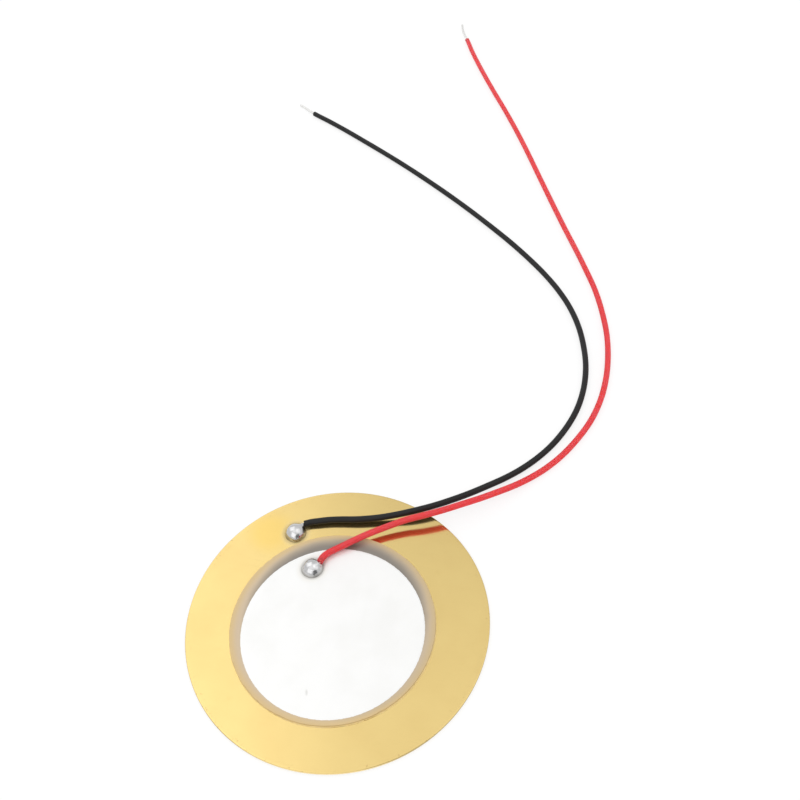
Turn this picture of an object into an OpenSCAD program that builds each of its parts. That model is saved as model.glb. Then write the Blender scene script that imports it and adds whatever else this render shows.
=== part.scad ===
// Piezo disc: a brass plate with a bonded piezo ceramic and two soldered leads.
// Millimetres. The origin is the centre of the plate's underside, and +Z points
// out of the ceramic side. +Y points from the centre towards the soldered joints.

/* [Brass plate] */
// Diameter of the brass plate
plate_d = 27; // [24:0.5:35]
// Thickness of the brass plate
plate_t = 0.3; // [0.2:0.05:0.5]
// Radius that blanking leaves on the plate's upper rim
plate_edge_r = 0.06; // [0.02:0.01:0.1]

/* [Piezo element] */
// Diameter of the ceramic disc
ceramic_d = 18.2; // [17:0.1:19]
// Thickness of the ceramic disc
ceramic_t = 0.2; // [0.15:0.01:0.35]
// How far right of the plate's centre the ceramic was bonded
ceramic_x = -0.4; // [-1:0.1:1]
// How far behind the plate's centre the ceramic was bonded
ceramic_y = -0.55; // [-1:0.05:1]
// Width of the bare ceramic ring left round the upper electrode's print
bare_ring = 0.95; // [0.6:0.05:1.5]
// Thickness of each fired silver electrode
electrode_t = 0.02; // [0.01:0.005:0.04]
// How far the upper electrode's print sits behind the ceramic's centre
print_y = -0.5; // [-0.5:0.1:0]

/* [Bond] */
// Thickness of the glue film under the ceramic
bond_t = 0.02; // [0.01:0.005:0.05]
// Width of the glue bead squeezed out round the ceramic
bead_w = 0.1; // [0.05:0.01:0.2]
// Height of the glue bead against the ceramic's edge, from the plate
bead_h = 0.1; // [0.07:0.01:0.15]

/* [Solder joints] */
// Radius of the solder bead on the brass
brass_joint_r = 1; // [0.85:0.05:1.1]
// Height of the solder bead on the brass
brass_joint_h = 0.9; // [0.7:0.05:1]
// Radius of the solder bead on the silver
electrode_joint_r = 1; // [0.9:0.05:1.1]
// Height of the solder bead on the silver
electrode_joint_h = 0.8; // [0.65:0.05:0.85]

/* [Leads] */
// Outer diameter of a lead's insulation
lead_d = 0.62; // [0.5:0.01:0.7]
// Diameter of a lead's bundle of tinned strands
strands_d = 0.3; // [0.2:0.01:0.35]
// How far the strands run on into the solder
strands_in = 1; // [0.8:0.1:1.2]

/* [Hidden] */
$fn = 96;
lead_sides = 8;

// Faces of the stack, counted up from the plate's underside
plate_top = plate_t;
bond_top = plate_top + bond_t;
lower_top = bond_top + electrode_t;
ceramic_top = lower_top + ceramic_t;
disc_top = ceramic_top + electrode_t;

// Diameter of the upper electrode's print
electrode_d = ceramic_d - 2 * bare_ring;

// The leads' routes, chosen by hand. Each point is x, y and the clear height under
// the insulation: over the disc, then over the plate, then over the table.
black_over_plate = [
    [-2.65, 10.1, 0.02], [-2.0, 10.2, 0.04], [-1.3, 10.2, 0.07], [-0.4, 10.2, 0.1],
    [0.8, 10.1, 0.13], [2.3, 9.9, 0.17], [4.2, 9.8, 0.23], [6.1, 9.8, 0.42], [7.9, 9.9, 0.64]];
black_over_table = [
    [9.8, 10.2, 1.01], [11.6, 10.7, 0.93], [13.4, 11.4, 0.69], [15.1, 12.2, 0.39],
    [16.8, 13.0, 0.16], [18.5, 13.9, 0.03], [20.1, 14.9, 0], [21.6, 16.05, 0],
    [23.6, 18.1, 0], [25.3, 20.5, 0], [26.55, 23.2, 0], [27.35, 26.1, 0], [27.7, 29.1, 0],
    [27.7, 32.1, 0], [27.3, 35.0, 0], [26.5, 37.9, 0], [25.4, 40.7, 0], [24.1, 43.4, 0],
    [22.7, 46.0, 0], [20.6, 49.5, 0], [18.5, 52.8, 0], [13.9, 59.4, 0], [11.5, 62.6, 0],
    [9.05, 65.7, 0], [6.5, 68.8, 0], [3.9, 71.9, 0], [1.95, 74.1, 0], [0.0, 76.2, 0]];
red_over_disc = [
    [-1.3, 5.55, 0.12], [-1.0, 6.05, 0.1], [-0.6, 6.4, 0.08], [0.1, 6.75, 0.07],
    [0.9, 7.05, 0.1], [1.7, 7.35, 0.18]];
red_over_plate = [
    [3.2, 7.9, 0.52], [5.0, 8.4, 0.65], [6.9, 8.8, 0.9], [8.8, 9.0, 1.11]];
red_over_table = [
    [10.6, 9.3, 1.49], [12.4, 9.8, 1.38], [14.15, 10.45, 1.03], [15.9, 11.2, 0.64],
    [17.6, 11.95, 0.31], [19.3, 12.8, 0.09], [20.95, 13.75, 0], [22.5, 14.85, 0],
    [24.5, 16.7, 0], [26.45, 19.0, 0], [28.0, 21.6, 0], [29.15, 24.4, 0], [29.95, 27.3, 0],
    [30.45, 30.2, 0], [30.65, 33.2, 0], [30.6, 37.1, 0], [30.15, 41.1, 0], [29.0, 49.0, 0],
    [27.95, 56.9, 0], [26.9, 64.9, 0], [26.3, 68.8, 0], [25.6, 72.8, 0], [24.85, 76.7, 0],
    [24.15, 80.6, 0], [23.5, 84.6, 0], [23.1, 87.5, 0], [22.8, 90.4, 0]];

// The bare tips go on from there, down to the table: x, y and the share of the
// way down from the insulation's middle to where the strands lie on the table.
black_tip = [[-0.6, 77.0, 0.3], [-1.2, 77.9, 0.7], [-1.9, 78.8, 1]];
red_tip = [[22.6, 91.8, 0.3], [22.5, 93.4, 0.7], [22.6, 95.0, 1]];

// Points of a route, lifted from clear heights to the lead's middle
function lifted(points, ground) = [for (p = points) [p.x, p.y, ground + p.z + lead_d / 2]];

// Points of a bare tip, from the height of the lead's middle down to the table
function lowered(points) =
    [for (p = points) [p.x, p.y, lead_d / 2 - p.z * (lead_d - strands_d) / 2]];

// The middle line of each lead, from the joint to the end of its bare tip, and the
// number of the point at which its insulation ends
black_route = concat(lifted(black_over_plate, plate_top), lifted(black_over_table, 0),
                     lowered(black_tip));
red_route = concat(lifted(red_over_disc, disc_top), lifted(red_over_plate, plate_top),
                   lifted(red_over_table, 0), lowered(red_tip));
black_stripped = len(black_over_plate) + len(black_over_table) - 1;
red_stripped = len(red_over_disc) + len(red_over_plate) + len(red_over_table) - 1;

// Centres of the two solder beads, each just behind the end of its lead's insulation
brass_joint_at = [black_route[0].x - 0.88, black_route[0].y - 0.7, plate_top];
electrode_joint_at = [red_route[0].x - 0.7, red_route[0].y - 0.28, disc_top];

// Direction of travel at point k: towards the next point, seen from the one before
function heading(route, k) =
    let (v = route[min(k + 1, len(route) - 1)] - route[max(k - 1, 0)]) v / norm(v);

// A ring of points round point k, square to the direction of travel
function ring(route, k, r) =
    let (t = heading(route, k), s0 = cross([0, 0, 1], t), s = s0 / norm(s0), u = cross(t, s))
    [for (j = [0:lead_sides - 1])
        let (a = 360 * j / lead_sides) route[k] + r * (cos(a) * s + sin(a) * u)];

// A round tube along a route from one of its points to another, with flat ends
module tube(route, d, from, to) {
    n = lead_sides;
    rings = to - from + 1;
    points = [for (k = [from:to]) each ring(route, k, d / 2)];
    start = [[for (j = [0:n - 1]) j]];
    end = [[for (j = [n - 1:-1:0]) (rings - 1) * n + j]];
    walls = [for (k = [0:rings - 2], j = [0:n - 1])
        let (a = k * n + j, b = k * n + (j + 1) % n) each [[a, a + n, b], [b, a + n, b + n]]];
    polyhedron(points, concat(start, end, walls));
}

// A straight round rod from a point, along a direction
module rod(from, along, length, d1, d2) {
    translate(from)
        rotate([0, acos(along.z / norm(along)), atan2(along.y, along.x)])
            cylinder(h = length, d1 = d1, d2 = d2);
}

// The brass plate: blanked from sheet, so its upper rim is rolled over
module brass_plate() {
    plate_r = plate_d / 2;
    color("goldenrod")
        rotate_extrude()
            union() {
                square([plate_r - plate_edge_r, plate_t]);
                square([plate_r, plate_t - plate_edge_r]);
                translate([plate_r - plate_edge_r, plate_t - plate_edge_r])
                    circle(r = plate_edge_r);
            }
}

// The glue: a film under the ceramic and a bead in the corner round its edge
module bond_film() {
    ceramic_r = ceramic_d / 2;
    color("khaki")
        translate([ceramic_x, ceramic_y, plate_top])
            rotate_extrude()
                polygon([[0, 0], [ceramic_r + bead_w, 0], [ceramic_r, bead_h],
                         [ceramic_r, bond_t], [0, bond_t]]);
}

// The lower electrode: silver fired over the ceramic's whole underside
module lower_electrode() {
    color("gainsboro")
        translate([ceramic_x, ceramic_y, bond_top])
            cylinder(h = electrode_t, d = ceramic_d);
}

// The ceramic disc: pressed and fired lead zirconate titanate
module ceramic_disc() {
    color("tan")
        translate([ceramic_x, ceramic_y, lower_top])
            cylinder(h = ceramic_t, d = ceramic_d);
}

// The upper electrode: a smaller round silver print on the ceramic
module upper_electrode() {
    color("whitesmoke")
        translate([ceramic_x, ceramic_y + print_y, ceramic_top])
            cylinder(h = electrode_t, d = electrode_d);
}

// A solder joint: a low dome that has run up the strands to meet the insulation,
// with the seats of the strands and of the insulation's end left out of it
module solder_joint(at, r, h, route) {
    outwards = route[1] - route[0];
    sphere_r = (r * r + h * h) / (2 * h);
    collar_l = 0.6;
    collar_d1 = lead_d - 0.1;
    collar_d2 = lead_d;
    overlap = 0.1;
    color("silver")
        difference() {
            union() {
                translate(at)
                    intersection() {
                        translate([0, 0, h - sphere_r]) sphere(r = sphere_r);
                        cylinder(h = h + overlap, r = r + overlap);
                    }
                rod(route[0], -outwards, collar_l, collar_d1, collar_d2);
            }
            rod(route[0], -outwards, strands_in, strands_d, strands_d);
            rod(route[0], outwards, norm(outwards), lead_d, lead_d);
        }
}

module brass_joint() {
    solder_joint(brass_joint_at, brass_joint_r, brass_joint_h, black_route);
}

module electrode_joint() {
    solder_joint(electrode_joint_at, electrode_joint_r, electrode_joint_h, red_route);
}

// The insulated leads
module black_lead() {
    color([0.15, 0.15, 0.15]) tube(black_route, lead_d, 0, black_stripped);
}

module red_lead() {
    color("firebrick") tube(red_route, lead_d, 0, red_stripped);
}

// A lead's strands where they are bare: into the solder, and at the far tip
module bare_strands(route, stripped) {
    color("lightgray") {
        rod(route[0], route[0] - route[1], strands_in, strands_d, strands_d);
        tube(route, strands_d, stripped, len(route) - 1);
    }
}

module black_strands() {
    bare_strands(black_route, black_stripped);
}

module red_strands() {
    bare_strands(red_route, red_stripped);
}

brass_plate();
bond_film();
lower_electrode();
ceramic_disc();
upper_electrode();
brass_joint();
electrode_joint();
black_lead();
red_lead();
black_strands();
red_strands();
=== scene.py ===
import math

import bpy
import numpy as np
from mathutils import Matrix, Vector


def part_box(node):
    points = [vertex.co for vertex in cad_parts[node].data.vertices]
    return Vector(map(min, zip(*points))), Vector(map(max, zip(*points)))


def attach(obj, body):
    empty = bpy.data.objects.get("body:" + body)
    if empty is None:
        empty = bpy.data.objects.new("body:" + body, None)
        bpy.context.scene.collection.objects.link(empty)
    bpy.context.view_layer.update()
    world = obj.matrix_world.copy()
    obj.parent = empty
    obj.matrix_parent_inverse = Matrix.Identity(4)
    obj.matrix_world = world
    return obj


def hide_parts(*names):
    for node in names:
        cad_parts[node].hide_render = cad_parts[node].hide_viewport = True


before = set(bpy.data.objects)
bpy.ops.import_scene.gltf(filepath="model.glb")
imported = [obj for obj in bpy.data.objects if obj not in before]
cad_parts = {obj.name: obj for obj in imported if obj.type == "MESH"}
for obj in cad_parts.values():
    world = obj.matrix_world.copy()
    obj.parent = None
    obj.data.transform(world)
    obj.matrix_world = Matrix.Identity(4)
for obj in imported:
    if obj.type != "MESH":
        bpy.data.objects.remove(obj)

scene = bpy.context.scene
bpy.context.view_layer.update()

# ---------------------------------------------------------------- camera
# Stands in front of the disc and looks down along the leads, a little turned on its own axis.
# Everything below is in metres; MM turns a size in millimetres into metres.
MM = 0.001
aim = Vector((7.58, 24.49, 0)) * MM
look_down = math.radians(50.64)
turned = math.radians(-5.96)
stand_off = 104.27 * MM

camera = bpy.data.objects.new("camera", bpy.data.cameras.new("camera"))
camera.data.sensor_width = 36
camera.data.lens = 45
camera.data.clip_start = 5 * MM
camera.data.clip_end = 10
forward = Vector((0, math.cos(look_down), -math.sin(look_down)))
camera.matrix_world = (
    Matrix.Translation(aim - forward * stand_off)
    @ Matrix.Rotation(math.pi / 2 - look_down, 4, "X")
    @ Matrix.Rotation(turned, 4, "Z")
)
scene.collection.objects.link(camera)
scene.camera = camera

# ---------------------------------------------------------------- brass plate
# A round blank punched from bright rolled brass strip. Punching rolls its upper rim over and
# leaves a burnished band, then a torn one, down its edge; the strip's rolling lines cross it.
plate_low, plate_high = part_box("brass_plate")
plate_r = (plate_high.x - plate_low.x) / 2
plate_top = plate_high.z
rim_r = 0.06 * MM
torn_depth = 0.09 * MM
torn_back = 0.012 * MM


def skin(name, *shells):
    """A piece of closed skins, each over rings of points. A band of quads joins each ring to the
    next, and a fan closes the first and the last ring to the middle of its points."""
    points, faces, start = [], [], 0
    for rings in shells:
        count, around = rings.shape[:2]
        ends = start + count * around
        here = start + np.arange(count * around).reshape(count, around)
        after = np.roll(here, -1, axis=1)
        bands = np.stack([here[:-1], after[:-1], after[1:], here[1:]], axis=-1).reshape(-1, 4)
        first = np.stack([after[0], here[0], np.full(around, ends)], axis=-1)
        last = np.stack([here[-1], after[-1], np.full(around, ends + 1)], axis=-1)
        points += [rings.reshape(-1, 3), rings[:1].mean(axis=1), rings[-1:].mean(axis=1)]
        faces += bands.tolist() + first.tolist() + last.tolist()
        start = ends + 2
    mesh = bpy.data.meshes.new(name)
    mesh.from_pydata(np.vstack(points).tolist(), [], faces)
    mesh.polygons.foreach_set("use_smooth", np.full(len(faces), True))
    piece = bpy.data.objects.new(name, mesh)
    scene.collection.objects.link(piece)
    return piece


def turns(count):
    """That many equal turns round a circle, in radians."""
    return np.linspace(0, 2 * math.pi, count, endpoint=False)


def rings_round(middle, radius, height, around):
    """Rings of points at equal turns round the upright axis through middle. Each ring has its
    radius and its height, and both may differ round the ring."""
    angle = turns(around)
    return np.stack([
        middle[0] + radius * np.cos(angle),
        middle[1] + radius * np.sin(angle),
        height + 0 * angle,
    ], axis=-1)


def turned_rings(profile, around, middle=(0, 0)):
    """Rings of a turned shape: each point of the profile, a radius and a height, goes once round
    the upright axis through middle."""
    radius, height = np.array(profile).T[..., None]
    return rings_round(middle, radius, height, around)


def arc(middle, radius, start, end, count=7):
    """Points of a round corner of a profile: radius from middle, from one angle to another, in
    degrees, both ends included."""
    angle = np.radians(np.linspace(start, end, count))
    return list(zip(middle[0] + radius * np.cos(angle), middle[1] + radius * np.sin(angle)))


plate_profile = [(plate_r * share, 0) for share in (0.2, 0.4, 0.6, 0.8, 0.95)]
plate_profile += [(plate_r - 2 * torn_back, 0), (plate_r - torn_back, 0.15 * torn_depth)]
plate_profile += [(plate_r - 0.4 * torn_back, 0.6 * torn_depth), (plate_r, torn_depth)]
plate_profile += arc((plate_r - rim_r, plate_top - rim_r), rim_r, 0, 90)
plate_profile += [(plate_r * share, plate_top) for share in (0.985, 0.95, 0.8, 0.6, 0.4, 0.2)]
plate = skin("brass_disc", turned_rings(plate_profile, 256))


class Signal:
    """One output of a material's nodes. Arithmetic on signals adds the Math nodes for it."""

    def __init__(self, finish, socket):
        self.finish = finish
        self.socket = socket

    def math(self, operation, *values):
        """A Math node over these values."""
        return self.finish.node("ShaderNodeMath", {"operation": operation}, enumerate(values))

    def __add__(self, other):
        return self.math("ADD", self, other)

    def __sub__(self, other):
        return self.math("SUBTRACT", self, other)

    def __rsub__(self, other):
        return self.math("SUBTRACT", other, self)

    def __mul__(self, other):
        return self.math("MULTIPLY", self, other)

    __radd__ = __add__
    __rmul__ = __mul__

    def rise(self, low, high):
        """0 below low, 1 above high, and a smooth rise between them; it falls if low is above."""
        settings = {"interpolation_type": "SMOOTHSTEP"}
        inputs = {"Value": self, "From Min": low, "From Max": high}
        return self.finish.node("ShaderNodeMapRange", settings, inputs.items())


class Finish:
    """The finish of a surface, or of the world: its material and the nodes that make it."""

    def __init__(self, owner):
        owner.use_nodes = True
        self.owner = owner
        self.tree = owner.node_tree
        self.tree.nodes.clear()

    def node(self, kind, settings=None, inputs=(), output=0):
        """Adds a node with its settings, then the values or links of its sockets."""
        node = self.tree.nodes.new(kind)
        for name, value in (settings or {}).items():
            setattr(node, name, value)
        for name, value in dict(inputs).items():
            if isinstance(value, Signal):
                self.tree.links.new(value.socket, node.inputs[name])
            else:
                node.inputs[name].default_value = value
        return Signal(self, node.outputs[output])

    def vector(self, operation, first, second):
        """A Vector Math node over two vectors."""
        settings = {"operation": operation}
        return self.node("ShaderNodeVectorMath", settings, {0: first, 1: second})

    def place(self):
        """Where a point of the surface is, in the object's own coordinates, in metres."""
        return self.node("ShaderNodeTexCoord", output="Object")

    def stretched(self, place, scale, turn=0.0):
        """The place turned by an angle about the upright axis, then scaled along each axis."""
        settings = {"rotation_type": "Z_AXIS"}
        across = self.node("ShaderNodeVectorRotate", settings, {"Vector": place, "Angle": turn})
        return self.vector("MULTIPLY", across, scale)

    def noise(self, place, size, detail=2.0, roughness=0.5):
        """Cloudy noise from 0 to 1, whose blotches are about size across."""
        inputs = {"Vector": place, "Scale": 1 / size, "Detail": detail, "Roughness": roughness}
        return self.node("ShaderNodeTexNoise", inputs=inputs)

    def away(self, place, point, across=(1, 1, 1)):
        """How far a place is from a point, with each axis counted as many times as across says."""
        offset = self.vector("MULTIPLY", self.vector("SUBTRACT", place, point), across)
        settings = {"operation": "LENGTH"}
        return self.node("ShaderNodeVectorMath", settings, {0: offset}, output="Value")

    def mix(self, share, first, second):
        """The first colour where share is 0 and the second where it is 1."""
        inputs = {0: share, 6: first, 7: second}
        return self.node("ShaderNodeMix", {"data_type": "RGBA"}, inputs, output=2)

    def bump(self, height, distance, under=None):
        """The normal over a height from 0 to 1 that stands for a distance in metres."""
        inputs = {"Height": height, "Distance": distance, "Strength": 1.0}
        if under:
            inputs["Normal"] = under
        return self.node("ShaderNodeBump", inputs=inputs)

    def shade(self, inputs, *pieces):
        """Ends in a Principled shader with these inputs, and gives the finish to the pieces."""
        shader = self.node("ShaderNodeBsdfPrincipled", inputs=inputs)
        self.end(shader, "Material")
        for piece in pieces:
            piece.data.materials.clear()
            piece.data.materials.append(self.owner)

    def end(self, shader, kind):
        """Links a shader to the output, of kind Material or World."""
        out = self.tree.nodes.new("ShaderNodeOutput" + kind)
        self.tree.links.new(shader.socket, out.inputs["Surface"])


def tone(red, green, blue):
    """A colour as a shader takes it, from three linear shares."""
    return (red, green, blue, 1.0)


def joint_foot(node, foot_r):
    """The middle of a solder joint's round foot, which reaches its node's box at the left and
    in front, while its neck leaves to the right and behind."""
    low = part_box(node)[0]
    return (low.x + foot_r, low.y + foot_r, low.z)


brass_bead_r = 1.0 * MM
brass_foot = joint_foot("brass_joint", brass_bead_r)
brass = Finish(bpy.data.materials.new("rolled_brass"))
place = brass.place()
rolling = math.radians(24)
lines = brass.noise(brass.stretched(place, (40, 1400, 40), rolling), 1.0, 4, 0.6)
hairs = brass.noise(brass.stretched(place, (250, 9000, 250), rolling), 1.0, 3, 0.7)
clouds = brass.noise(place, 5 * MM, 3, 0.55)
stain = brass.noise(place, 1.1 * MM, 4, 0.6).rise(0.62, 0.78)
rim = brass.away(place, (0, 0, 0), (1, 1, 0)).rise(plate_r - 0.9 * MM, plate_r)
specks = brass.noise(place, 0.22 * MM, 3, 0.6).rise(0.62, 0.72) * rim
from_bead = brass.away(place, brass_foot, (1, 1, 8))
flux = (from_bead + 0.5 * MM * clouds).rise(1.85 * MM, 1.3 * MM)
# Round the bead's foot the brass is painted darker: painted shade and reflection of the bead.
painted_bead_shade = (from_bead + 0.2 * MM * stain).rise(1.4 * MM, 1.0 * MM)
heated = (brass_foot[0] - 2.4 * MM, brass_foot[1] + 0.5 * MM, plate_top)
heat = (brass.away(place, heated) + 1.5 * MM * clouds).rise(3.6 * MM, 1.6 * MM)
colour = brass.mix(clouds.rise(0.3, 0.75), tone(0.78, 0.592, 0.24), tone(0.75, 0.56, 0.223))
colour = brass.mix(stain * 0.2, colour, tone(0.64, 0.46, 0.16))
colour = brass.mix(heat * 0.8, colour, tone(0.8, 0.57, 0.17))
colour = brass.mix(specks * 0.55, colour, tone(0.33, 0.22, 0.09))
colour = brass.mix(hairs.rise(0.55, 0.75) * 0.12, colour, tone(0.55, 0.4, 0.15))
colour = brass.mix(flux * 0.3, colour, tone(0.76, 0.64, 0.4))
# The painted shade and reflection of the bead round its foot.
colour = brass.mix(painted_bead_shade * 0.4, colour, tone(0.33, 0.26, 0.13))
brass.shade({
    "Base Color": colour,
    "Metallic": 0.95 - 0.2 * flux,
    "Roughness": 0.08 + 0.05 * lines + 0.04 * hairs + 0.04 * clouds + 0.2 * specks + 0.12 * flux,
    "Normal": brass.bump(lines, 0.0004 * MM, brass.bump(clouds, 0.005 * MM)),
}, plate)
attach(plate, "root")
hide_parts("brass_plate")

# ---------------------------------------------------------------- glue
# Clear amber epoxy: a film under the ceramic, and the uneven bead that pressing the ceramic
# down squeezed out round it, with a hollow face between the ceramic's edge and the brass.
glue_low, glue_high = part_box("bond_film")
ceramic_low, ceramic_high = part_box("ceramic_disc")
ceramic_r = (ceramic_high.x - ceramic_low.x) / 2
ceramic_middle = ((ceramic_low + ceramic_high) / 2)[:2]
film_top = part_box("lower_electrode")[0].z
bead_w = (glue_high.x - glue_low.x) / 2 - ceramic_r
bead_h = glue_high.z - plate_top


def uneven(angle, seed, waves):
    """A smooth closed wander round a circle, from -1 to 1: the mean of one sine for each number
    of waves, each with a random start."""
    phase = np.random.default_rng(seed).uniform(0, 2 * math.pi, len(waves))
    return np.mean([np.sin(n * angle + p) for n, p in zip(waves, phase)], axis=0)


around = 512
angle = turns(around)
squeeze = 0.72 + 0.45 * uneven(angle, 5, (3, 5, 8, 13, 21))
squeeze += 0.2 * uneven(angle, 6, (34, 55, 89))
hollow = np.radians(np.linspace(0, 90, 7))
bead = np.stack([
    ceramic_r + bead_w * np.outer(1 - np.sin(hollow), squeeze),
    plate_top + bead_h * np.outer(1 - np.cos(hollow), 0.55 + 0.45 * squeeze),
], axis=-1)
inside = [(share * ceramic_r, plate_top) for share in (0.3, 0.9)]
film = [(ceramic_r, film_top), (0.9 * ceramic_r, film_top), (0.3 * ceramic_r, film_top)]
flat = np.broadcast_to(np.array(inside + film)[:, None], (len(inside + film), around, 2))
profile = np.concatenate([flat[:2], bead, flat[2:]])
glue_rings = rings_round(ceramic_middle, profile[..., 0], profile[..., 1], around)
glue_piece = skin("glue_film", glue_rings)

glue = Finish(bpy.data.materials.new("amber_epoxy"))
cloudy = glue.noise(glue.place(), 0.5 * MM, 3, 0.5)
glue.shade({
    "Base Color": glue.mix(cloudy.rise(0.3, 0.7), tone(0.9, 0.68, 0.31), tone(0.8, 0.6, 0.26)),
    "Roughness": 0.22 + 0.2 * cloudy,
    "Normal": glue.bump(cloudy, 0.01 * MM),
}, glue_piece)
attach(glue_piece, "root")
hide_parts("bond_film")

# ---------------------------------------------------------------- ceramic
# A thin disc of pressed and fired lead zirconate titanate, lapped flat and matte. Its edge is
# a little blunt and chipped. Silver is printed and fired over the whole of its underside.
blunt = 0.025 * MM


def chipped_edge(angle, seed, count, width, depth):
    """How far the upper edge is chipped away at each angle: the deepest of a few round bites."""
    rng = np.random.default_rng(seed)
    middles = rng.uniform(0, 2 * math.pi, count)
    widths = width * rng.uniform(0.4, 1, count)
    depths = depth * rng.uniform(0.3, 1, count)
    turn = (angle[:, None] - middles + math.pi) % (2 * math.pi) - math.pi
    return (depths * np.sqrt(np.clip(1 - (turn / widths) ** 2, 0, 1))).max(axis=1)


around = 1024
angle = turns(around)
chips = chipped_edge(angle, 11, 26, 0.03, 0.07 * MM)
bite_foot = ceramic_high.z - 4 * blunt
corner = arc((ceramic_r - blunt, ceramic_high.z - blunt), blunt, 0, 90, 5)
edge_profile = [(ceramic_r * share, ceramic_low.z) for share in (0.3, 0.9, 1)]
edge_profile += [(ceramic_r, bite_foot)] + corner
edge_profile += [(ceramic_r * share, ceramic_high.z) for share in (0.985, 0.97, 0.9, 0.6, 0.3)]
edge_profile = np.array(edge_profile)
bite = np.interp(edge_profile[:, 1], [bite_foot, ceramic_high.z], [0, 1])
bite *= np.interp(edge_profile[:, 0], [0.98 * ceramic_r, ceramic_r - blunt], [0, 1])
ceramic_rings = turned_rings(edge_profile, around, ceramic_middle)
inwards = np.stack([-np.cos(angle), -np.sin(angle), 0 * angle], axis=-1)
ceramic_rings += bite[:, None, None] * chips[:, None] * inwards
ceramic = skin("ceramic", ceramic_rings)

lower_low, lower_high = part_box("lower_electrode")
lower_profile = [(ceramic_r * share, lower_low.z) for share in (0.3, 0.9, 1)]
lower_profile += [(ceramic_r * share, lower_high.z) for share in (1, 0.9, 0.3)]
lower_silver = skin("lower_silver", turned_rings(lower_profile, around, ceramic_middle))

# Just past the print's far edge the ring is painted dark grey as shade, and it is a little
# metallic and smoother there. A fainter painted shade lies on the inner part of the ring all
# round.
far_shade_middle = (-0.14 * MM, 0.014 * MM, 0)
fired = Finish(bpy.data.materials.new("fired_ceramic"))
place = fired.place()
grain = fired.noise(place, 0.05 * MM, 3, 0.6)
mottle = fired.noise(place, 1.6 * MM, 3, 0.5)
outer = fired.away(place, (*ceramic_middle, 0), (1, 1, 0)) + 0.2 * MM * mottle
colour = fired.mix(outer.rise(8.4 * MM, 9.2 * MM), tone(0.63, 0.5, 0.35), tone(0.68, 0.5, 0.245))
colour = fired.mix(grain.rise(0.45, 0.75) * 0.2, colour, tone(0.5, 0.4, 0.26))
# Painted shade along the ring's far side, next to the print.
painted_far_shade = fired.away(place, far_shade_middle, (1, 1, 0)) + 0.3 * MM * (mottle - 0.5)
painted_far_shade = painted_far_shade.rise(8.5 * MM, 7.3 * MM)
# A fainter painted shade on the inner part of the ring.
painted_ring_shade = fired.away(place, (0.25 * MM, -0.5 * MM, 0), (1, 1, 0)).rise(9.0 * MM, 8.4 * MM)
colour = fired.mix(painted_ring_shade * 0.25, colour, tone(0.36, 0.32, 0.26))
colour = fired.mix(painted_far_shade * 0.95, colour, tone(0.235, 0.215, 0.19))
fired.shade({
    "Base Color": colour,
    "Metallic": 0.5 * painted_far_shade,
    "Roughness": 0.55 + 0.15 * grain - 0.25 * painted_far_shade,
    "Normal": fired.bump(grain, 0.003 * MM),
}, ceramic)
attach(ceramic, "root")
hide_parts("ceramic_disc")

# ---------------------------------------------------------------- upper electrode
# Silver paste screened on the ceramic in a smaller round and fired: matte and nearly white,
# with the screen's faint grid in it, and thinner along its slightly ragged edge.
print_low, print_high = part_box("upper_electrode")
print_r = (print_high.x - print_low.x) / 2
print_middle = ((print_low + print_high) / 2)[:2]
feather = 0.12 * MM
around = 1024
angle = turns(around)
ragged = 0.02 * MM * (uneven(angle, 21, (60, 97, 151, 233)) - 1)
reach = np.array([0.3, 0.9, 1, 1, 1, 1, 1, 0.97, 0.9, 0.6, 0.3]) * print_r
back = np.array([0, 0, 0, 0.03, 0.25, 0.6, 1, 0, 0, 0, 0]) * feather
rise = np.array([0, 0, 0, 0.4, 0.75, 0.93, 1, 1, 1, 1, 1])
edge = reach == print_r
print_radius = (reach - back)[:, None] + np.outer(edge, ragged)
print_height = (print_low.z + rise * (print_high.z - print_low.z))[:, None]
print_rings = rings_round(print_middle, print_radius, print_height, around)
upper_silver = skin("upper_silver", print_rings)

silver_bead_r = 1.0 * MM
silver_foot = joint_foot("electrode_joint", silver_bead_r)
silver = Finish(bpy.data.materials.new("fired_silver"))
place = silver.place()
clouds = silver.noise(place, 3 * MM, 3, 0.5)
pores = silver.noise(place, 0.06 * MM, 2, 0.5)
weft = silver.noise(silver.stretched(place, (1000, 9000, 1000), math.radians(21)), 1.0, 1)
warp = silver.noise(silver.stretched(place, (9000, 1000, 1000), math.radians(21)), 1.0, 1)
screen = 0.5 * weft + 0.5 * warp
from_bead = silver.away(place, silver_foot)
# The flux ring round the bead is partly real residue and partly painted shade.
flux = (from_bead + 0.6 * MM * clouds).rise(1.95 * MM, 1.35 * MM)
# Right at the bead's foot the silver is painted dark grey: painted shadow of the bead.
painted_bead_shadow = from_bead.rise(1.28 * MM, 1.0 * MM)
colour = silver.mix(clouds.rise(0.35, 0.75), tone(0.91, 0.91, 0.9), tone(0.88, 0.88, 0.865))
colour = silver.mix(flux * 0.4, colour, tone(0.8, 0.76, 0.68))
colour = silver.mix(painted_bead_shadow * 0.55, colour, tone(0.42, 0.41, 0.39))
colour = silver.mix(pores.rise(0.6, 0.8) * 0.25, colour, tone(0.78, 0.77, 0.75))
scuff = silver.away(place, (-2.8 * MM, -6.57 * MM, 0), (1, 0.4, 0)).rise(0.16 * MM, 0.04 * MM)
colour = silver.mix(scuff * 0.4, colour, tone(0.5, 0.49, 0.46))
silver.shade({
    "Base Color": colour,
    "Metallic": 0.35,
    "Roughness": 0.3 + 0.15 * pores,
    "Normal": silver.bump(screen, 0.003 * MM, silver.bump(pores, 0.002 * MM)),
}, upper_silver, lower_silver)
for piece, node in ((upper_silver, "upper_electrode"), (lower_silver, "lower_electrode")):
    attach(piece, "root")
    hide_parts(node)

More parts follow.
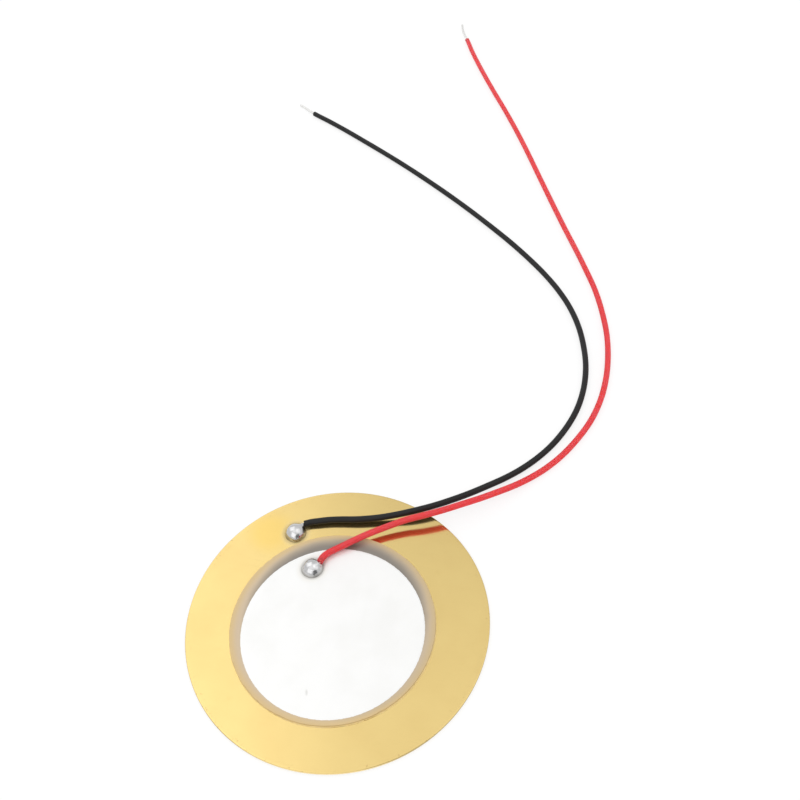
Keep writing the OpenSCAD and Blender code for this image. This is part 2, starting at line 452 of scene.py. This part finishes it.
# ---------------------------------------------------------------- leads
# Two hook-up wires cut to about 100 mm. Each is a bundle of seven tinned copper strands in
# extruded PVC insulation, which keeps the easy bends it took on the reel.
lead_d = 0.62 * MM
bore_d = 0.32 * MM
strands_d = 0.3 * MM
disc_top = print_high.z

# Each point is x, y and the clear height under the insulation, in millimetres.
black_over_plate = [
    (-2.65, 10.1, 0.02), (-2.0, 10.2, 0.04), (-1.3, 10.2, 0.07), (-0.4, 10.2, 0.1),
    (0.8, 10.1, 0.13), (2.3, 9.9, 0.17), (4.2, 9.8, 0.23), (6.1, 9.8, 0.42), (7.9, 9.9, 0.64)]
black_over_table = [
    (9.8, 10.2, 1.01), (11.6, 10.7, 0.93), (13.4, 11.4, 0.69), (15.1, 12.2, 0.39),
    (16.8, 13.0, 0.16), (18.5, 13.9, 0.03), (20.1, 14.9, 0), (21.6, 16.05, 0),
    (23.6, 18.1, 0), (25.3, 20.5, 0), (26.55, 23.2, 0), (27.35, 26.1, 0), (27.7, 29.1, 0),
    (27.7, 32.1, 0), (27.3, 35.0, 0), (26.5, 37.9, 0), (25.4, 40.7, 0), (24.1, 43.4, 0),
    (22.7, 46.0, 0), (20.6, 49.5, 0), (18.5, 52.8, 0), (13.9, 59.4, 0), (11.5, 62.6, 0),
    (9.05, 65.7, 0), (6.5, 68.8, 0), (3.9, 71.9, 0), (1.95, 74.1, 0), (0.0, 76.2, 0)]
red_over_disc = [
    (-1.3, 5.55, 0.12), (-1.0, 6.05, 0.1), (-0.6, 6.4, 0.08), (0.1, 6.75, 0.07),
    (0.9, 7.05, 0.1), (1.7, 7.35, 0.18)]
red_over_plate = [
    (3.2, 7.9, 0.52), (5.0, 8.4, 0.65), (6.9, 8.8, 0.9), (8.8, 9.0, 1.11)]
red_over_table = [
    (10.6, 9.3, 1.49), (12.4, 9.8, 1.38), (14.15, 10.45, 1.03), (15.9, 11.2, 0.64),
    (17.6, 11.95, 0.31), (19.3, 12.8, 0.09), (20.95, 13.75, 0), (22.5, 14.85, 0),
    (24.5, 16.7, 0), (26.45, 19.0, 0), (28.0, 21.6, 0), (29.15, 24.4, 0), (29.95, 27.3, 0),
    (30.45, 30.2, 0), (30.65, 33.2, 0), (30.6, 37.1, 0), (30.15, 41.1, 0), (29.0, 49.0, 0),
    (27.95, 56.9, 0), (26.9, 64.9, 0), (26.3, 68.8, 0), (25.6, 72.8, 0), (24.85, 76.7, 0),
    (24.15, 80.6, 0), (23.5, 84.6, 0), (23.1, 87.5, 0), (22.8, 90.4, 0)]
# The bare tips: x, y and the share of the way down from the insulation's middle to the table.
black_tip = [(-0.6, 77.0, 0.3), (-1.2, 77.9, 0.7), (-1.9, 78.8, 1)]
red_tip = [(22.6, 91.8, 0.3), (22.5, 93.4, 0.7), (22.6, 95.0, 1)]


def lifted(points, ground):
    """The middle line's points over a ground, from clear heights in millimetres."""
    return np.array(points) * MM + (0, 0, ground + lead_d / 2)


def lowered(points):
    """The bare tip's points, which sink as the thinner strands come to lie on the table."""
    x, y, share = np.array(points).T
    return np.stack([x * MM, y * MM, lead_d / 2 - share * (lead_d - strands_d) / 2], axis=-1)


def smooth_line(points, step):
    """A smooth curve through points, as places about step apart. Between two points it is the
    cubic whose slope at each is the mean of the slopes on both sides, in which the slope of a
    side counts as many times as the other side is long."""
    chord = np.linalg.norm(np.diff(points, axis=0), axis=1)
    at = np.concatenate([[0], np.cumsum(chord)])
    slope = np.diff(points, axis=0) / chord[:, None]
    inner = slope[:-1] * chord[1:, None] + slope[1:] * chord[:-1, None]
    inner /= (chord[:-1] + chord[1:])[:, None]
    slope = np.vstack([slope[:1], inner, slope[-1:]])
    asked = np.linspace(0, at[-1], round(at[-1] / step) + 1)
    k = np.clip(np.searchsorted(at, asked, side="right") - 1, 0, len(chord) - 1)
    span = chord[k][:, None]
    t = (asked - at[k])[:, None] / span
    return (
        (2 * t**3 - 3 * t**2 + 1) * points[k] + (3 * t**2 - 2 * t**3) * points[k + 1]
        + ((t**3 - 2 * t**2 + t) * slope[k] + (t**3 - t**2) * slope[k + 1]) * span
    )


class Way:
    """A line that a profile is carried along: its places, and at each the level direction to the
    left and the direction upwards, both square to the line."""

    def __init__(self, line):
        steps = np.linalg.norm(np.diff(line, axis=0), axis=1)
        self.line = line
        self.along = np.concatenate([[0], np.cumsum(steps)])
        self.length = self.along[-1]
        ahead = np.gradient(line, self.along, axis=0)
        left = np.cross((0, 0, 1), ahead)
        left /= np.linalg.norm(left, axis=1)[:, None]
        self.axes = (line, left, np.cross(ahead, left))

    def rings(self, stations, radius, around, turn=0.0):
        """Rings round the line at stations, lengths along it. Radius and turn, in radians, may
        differ from ring to ring, and stations and radius round the ring too."""
        count = len(stations)
        stations = np.broadcast_to(np.reshape(stations, (count, -1)), (count, around))
        middle, left, up = (
            np.stack([np.interp(stations, self.along, axis[:, k]) for k in range(3)], axis=-1)
            for axis in self.axes
        )
        angle = turns(around) + np.reshape(turn, (-1, 1))
        radius = np.broadcast_to(np.reshape(radius, (count, -1)), stations.shape)
        return middle + (radius * np.cos(angle))[..., None] * left + (
            radius * np.sin(angle))[..., None] * up


def insulation(name, way, seed):
    """One lead's insulation: a round tube whose outside swells and thins by a hundredth. Its ends
    are cut a little askew, with a blunt lip, round a bore that opens onto the strands."""
    around = 24
    lip = 0.04 * MM
    bore_depth = 0.4 * MM
    end_l = 0.3 * MM
    step = 0.25 * MM
    slow, quick = 2.3 * MM, 0.7 * MM
    askew = 0.03 * MM * np.cos(turns(around) + seed)
    bend = np.linspace(0, math.pi / 2, 5)
    start = np.concatenate([[bore_depth, 0], lip * (1 - np.cos(bend))])
    start_r = np.concatenate([[bore_d, bore_d], lead_d - 2 * lip * (1 - np.sin(bend))]) / 2
    body = np.arange(end_l, way.length - end_l, step)
    swell = np.sin(body / slow + seed) + np.sin(body / quick) - 2
    body_r = lead_d / 2 * (1 + 0.005 * swell)
    stations = np.concatenate([start, body, way.length - start[::-1]])[:, None]
    radius = np.concatenate([start_r, body_r, start_r[::-1]])
    near_end = np.interp(stations, [0, end_l, way.length - end_l, way.length], [1, 0, 0, -1])
    return skin(name, way.rings(stations + near_end * askew, radius, around))


def strand_outline(around):
    """The outline of six round strands laid about a seventh, with tin in the valleys between: at
    each angle the far side of the nearest strand, or the tin where that stands further out."""
    strand_r = strands_d / 6
    tin_r = 2.3 * strand_r
    off = (turns(around) + math.pi / 6) % (math.pi / 3) - math.pi / 6
    far_side = np.sqrt(np.clip(strand_r**2 - (2 * strand_r * np.sin(off)) ** 2, 0, None))
    return np.maximum(2 * strand_r * np.cos(off) + far_side, tin_r)


def strands(name, way, buried, stripped):
    """One lead's strands where they aren't in the insulation: a stub that runs into the solder,
    and the bare tip, whose tinned end is drawn to a blunt point."""
    around = 48
    lay = 5 * MM
    overlap = 0.4 * MM
    point_l = 0.3 * MM
    step = 0.1 * MM
    shells = []
    for first, last in ((0, buried + overlap), (stripped - overlap, way.length)):
        stations = np.linspace(first, last, round((last - first) / step) + 1)
        to_end = (way.length - stations) / point_l
        point = np.sqrt(np.clip(1 - (1 - np.clip(to_end, 0.02, 1)) ** 2, 0, 1))
        radius = np.outer(0.35 + 0.65 * point, strand_outline(around))
        shells.append(way.rings(stations, radius, around, 2 * math.pi * stations / lay))
    return skin(name, *shells)


def lead(colour_name, over, tip, seed):
    """A lead's insulation and strands, and the way of its middle line under the insulation."""
    whole = smooth_line(np.vstack([over, tip]), 0.25 * MM)
    end = int(np.linalg.norm(whole - over[-1], axis=1).argmin()) + 1
    whole[:end, 2] = np.maximum(whole[:end, 2], lead_d / 2)
    sheath = Way(whole[:end])
    back = (whole[0] - whole[1]) / np.linalg.norm(whole[0] - whole[1])
    buried = 0.9 * MM
    core = Way(np.vstack([whole[0] + buried * back, whole]))
    return (
        insulation(colour_name + "_insulation", sheath, seed),
        strands(colour_name + "_lead_strands", core, buried, buried + sheath.length),
        sheath,
    )


black_route = np.vstack([lifted(black_over_plate, plate_top), lifted(black_over_table, 0)])
red_route = np.vstack([
    lifted(red_over_disc, disc_top), lifted(red_over_plate, plate_top), lifted(red_over_table, 0)])
black_piece, black_core, black_way = lead("black", black_route, lowered(black_tip), 1)
red_piece, red_core, red_way = lead("red", red_route, lowered(red_tip), 4)

tin = Finish(bpy.data.materials.new("tinned_copper"))
place = tin.place()
dull = tin.noise(place, 0.12 * MM, 3, 0.6)
tin.shade({
    "Base Color": tin.mix(dull.rise(0.4, 0.8), tone(0.92, 0.915, 0.9), tone(0.78, 0.77, 0.75)),
    "Metallic": 1.0,
    "Roughness": 0.22 + 0.25 * dull,
    "Normal": tin.bump(dull, 0.006 * MM),
}, black_core, red_core)


def pvc(name, deep, pale):
    """The finish of insulation: satin PVC with faint clouds in its colour and fine dull grain."""
    finish = Finish(bpy.data.materials.new(name))
    place = finish.place()
    clouds = finish.noise(place, 2.5 * MM, 3, 0.5)
    grain = finish.noise(place, 0.07 * MM, 3, 0.6)
    return finish, {
        "Base Color": finish.mix(clouds.rise(0.25, 0.75), deep, pale),
        "Roughness": 0.36 + 0.12 * grain + 0.06 * clouds,
        "Normal": finish.bump(grain, 0.004 * MM),
    }


black_pvc, look = pvc("black_pvc", tone(0.0115, 0.0115, 0.0118), tone(0.016, 0.016, 0.0165))
black_pvc.shade(look | {"Specular IOR Level": 0.25}, black_piece)
red_pvc, look = pvc("red_pvc", tone(0.67, 0.045, 0.056), tone(0.7, 0.06, 0.07))
look |= {"Subsurface Weight": 1.0, "Subsurface Scale": 1.0 * MM}
red_pvc.shade(look | {"Specular IOR Level": 0.4}, red_piece)

for colour_name, piece, core, way in (
    ("black", black_piece, black_core, black_way), ("red", red_piece, red_core, red_way)
):
    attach(piece, "root")
    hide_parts(colour_name + "_lead")
    colour_name + "_insulation"
    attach(core, "root")
    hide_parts(colour_name + "_strands")

# ---------------------------------------------------------------- solder joints
# Two beads of solder, one on the brass and one on the silver. Each has pulled itself into a
# round drop over the strands, with a foot only a film thick on the metal and a neck out to the
# insulation. Low down each bead is dulled by flux, and its colour there is painted darker as
# shade.


def solder_bead(name, foot, end, widest, height, seed):
    """One bead, found along rays from inside it: the surface where a ball cut off by the ground,
    a foot only a film thick on the ground and a neck towards the insulation's end blend into each
    other."""
    base = np.array(foot)
    heart = np.array([0, 0, 0.4 * height])
    ball_r = (widest**2 + height**2) / (2 * height)
    neck_r = 0.17 * MM
    foot_t = 0.015 * MM
    foot_fillet, neck_fillet = 0.04 * MM, 0.25 * MM
    lump = 0.01 * MM
    neck = end - base - heart
    neck *= 1 - neck_r / np.linalg.norm(neck)

    def blend(first, second, fillet):
        """The lesser of two distances, with their meeting rounded by a fillet."""
        near = np.clip(fillet - np.abs(first - second), 0, None) / fillet
        return np.minimum(first, second) - near * near * fillet / 4

    def outside(point):
        """About how far a point is outside the bead; below zero it is inside."""
        x, y, z = np.moveaxis(point, -1, 0)
        turn = np.arctan2(y, x)
        ball = np.sqrt(x * x + y * y + (z - height + ball_r) ** 2) - ball_r
        skirt = np.hypot(np.clip(np.hypot(x, y) - widest, 0, None), z) - foot_t
        share = np.clip((point - heart) @ neck / (neck @ neck), 0, 1)[..., None]
        along = np.linalg.norm(point - heart - share * neck, axis=-1) - neck_r
        lumps = np.sin(3 * turn + seed) + np.sin(5 * turn + 4000 * z + 2 * seed)
        lumps *= lump * (x * x + y * y) / widest**2
        return blend(blend(ball, skirt, foot_fillet), along, neck_fillet) + lumps

    def surface(start, ray):
        """Where rays leave the bead, by halving the step between inside and outside."""
        halvings = 40
        near, far = np.zeros(ray.shape[:-1]), np.full(ray.shape[:-1], 3 * widest)
        for _ in range(halvings):
            half = (near + far) / 2
            within = outside(start + half[..., None] * ray) < 0
            near, far = np.where(within, half, near), np.where(within, far, half)
        return start + near[..., None] * ray

    around, rows = 240, 100
    turn = turns(around)
    level = np.stack([np.cos(turn), np.sin(turn), 0 * turn], axis=-1)
    rim = surface(np.zeros(3), level)
    fall = np.arctan2(np.hypot(rim[:, 0], rim[:, 1]), -heart[2])
    tilt = fall * np.linspace(1, 0.01, rows)[:, None]
    ray = np.sin(tilt)[..., None] * level + np.cos(tilt)[..., None] * np.array([0, 0, 1])
    dome = surface(heart, ray)
    dome[0] = rim
    return skin(name, base + np.concatenate([rim[None] * 0.5, dome]))


black_end, red_end = black_way.line[0], red_way.line[0]
brass_bead = solder_bead("brass_solder", brass_foot, black_end, brass_bead_r, 0.9 * MM, 2.8)
silver_bead = solder_bead("silver_solder", silver_foot, red_end, silver_bead_r, 0.8 * MM, 0.2)
for piece, node, foot in (
    (brass_bead, "brass_joint", brass_foot), (silver_bead, "electrode_joint", silver_foot)
):
    solder = Finish(bpy.data.materials.new("solder_of_" + node))
    place = solder.place()
    frost = solder.noise(place, 0.25 * MM, 4, 0.65)
    grain = solder.noise(place, 0.05 * MM, 3, 0.6)
    # Low on the bead the solder is rougher, and its colour is painted darker: painted shade at the
    # foot.
    dulled_and_shaded = solder.away(place, foot, (0, 0, 1)).rise(0.45 * MM, 0.05 * MM)
    colour = solder.mix(frost.rise(0.35, 0.75), tone(0.7, 0.7, 0.705), tone(0.61, 0.61, 0.615))
    solder.shade({
        "Base Color": solder.mix(dulled_and_shaded * 0.8, colour, tone(0.45, 0.44, 0.42)),
        "Metallic": 1.0,
        "Roughness": 0.05 + 0.1 * frost.rise(0.4, 0.7) + 0.12 * dulled_and_shaded,
        "Normal": solder.bump(grain, 0.002 * MM, solder.bump(frost, 0.015 * MM)),
    }, piece)
    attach(piece, "root")
    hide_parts(node)

# ---------------------------------------------------------------- table and lights
# A white table that keeps a pale shadow, under a soft sky that is brighter overhead, with a
# window to the left and a skylight high up to the right. A lamp stands in front to the left and
# a dark card in front to the right. From below the table isn't seen.
table_half = 2.0
table_at = -0.02 * MM


def flat_card(name, corners):
    """A flat four-sided piece of the studio, which isn't part of the object."""
    card = bpy.data.objects.new(name, bpy.data.meshes.new(name))
    card.data.from_pydata(corners, [], [(0, 1, 2, 3)])
    scene.collection.objects.link(card)
    return card


def ray(finish, *kinds):
    """1 where the ray that sees the finish is of one of these kinds, and 0 elsewhere."""
    found = [finish.node("ShaderNodeLightPath", output=kind) for kind in kinds]
    return sum(found[1:], found[0])


table = flat_card("table", [
    (-table_half, -table_half, table_at), (table_half, -table_half, table_at),
    (table_half, table_half, table_at), (-table_half, table_half, table_at)])
white = Finish(bpy.data.materials.new("white_table"))
lit = white.node("ShaderNodeBsdfDiffuse", inputs={"Color": tone(0.9, 0.9, 0.9)})
glow_strength = 1.06
shine = {"Color": tone(1, 1, 1), "Strength": glow_strength}
glow = white.node("ShaderNodeEmission", inputs=shine)
clear = white.node("ShaderNodeBsdfTransparent")
seen = ray(white, "Is Camera Ray", "Is Glossy Ray", "Is Transmission Ray")
top = white.node("ShaderNodeMixShader", inputs={0: 0.7 * seen, 1: lit, 2: glow})
# Within this reach the table is clear and the sky shines up through it, so the shade close
# under the part stays faint.
contact_l = 3 * MM
length = white.node("ShaderNodeLightPath", output="Ray Length")
close = length.math("LESS_THAN", length, contact_l)
below = white.node("ShaderNodeNewGeometry", output="Backfacing")
gone = below.math("MAXIMUM", below, close)
white.end(white.node("ShaderNodeMixShader", inputs={0: gone, 1: top, 2: clear}), "Material")
table.data.materials.append(white.owner)

card = flat_card("dark_card", [
    (0.03, -0.46, 0), (0.32, -0.33, 0), (0.3, -0.3, 0.36), (0.05, -0.42, 0.33)])
card.visible_camera = False
card.visible_diffuse = False
card.visible_shadow = False
black = Finish(bpy.data.materials.new("dark_felt"))
black.end(black.node("ShaderNodeBsdfDiffuse", inputs={"Color": tone(0.2, 0.2, 0.2)}), "Material")
card.data.materials.append(black.owner)

scene.world = bpy.data.worlds.new("sky")
sky = Finish(scene.world)
direction = sky.node("ShaderNodeTexCoord", output="Generated")


def along(axis):
    """How far the direction that is looked in runs along an axis, from -1 to 1."""
    settings = {"operation": "DOT_PRODUCT"}
    return sky.node("ShaderNodeVectorMath", settings, {0: direction, 1: axis}, output="Value")


# Across points to the right, and upright to the front and up. The window is the strip of sky
# between two values of across, on the left, and it ends on both sides of zero of upright.
across, upright = along((0.965, -0.139, 0.21)), along((-0.22, -0.87, 0.435))
window = across.rise(0.1, -0.1) * across.rise(-0.75, -0.55)
window = window * upright.math("ABSOLUTE", upright).rise(0.45, 0.25)
height = along((0, 0, 1))
skylight = along((0.574, 0, 0.819)).rise(0.88, 0.95)
dome = 0.77 + 0.08 * height.rise(0.6, 0.8) + 0.27 * height.rise(0.8, 0.98)
daylight = dome + 0.54 * window + 0.4 * skylight
strength = daylight + (1 - daylight) * ray(sky, "Is Camera Ray")
background = {"Color": tone(1, 1, 1), "Strength": strength}
sky.end(sky.node("ShaderNodeBackground", inputs=background), "World")

light = bpy.data.lights.new("front_lamp", "AREA")
light.shape = "RECTANGLE"
light.size = 0.48
light.size_y = 0.36
lamp_brightness = 0.6
light.energy = lamp_brightness * math.pi * light.size * light.size_y
lamp_away = 0.5
towards = Vector((-0.44, -0.63, 0.64))
lamp = bpy.data.objects.new("front_lamp", light)
lamp.matrix_world = (
    Matrix.Translation(lamp_away * towards) @ towards.to_track_quat("Z", "Y").to_matrix().to_4x4())
scene.collection.objects.link(lamp)

scene.view_settings.view_transform = "Standard"
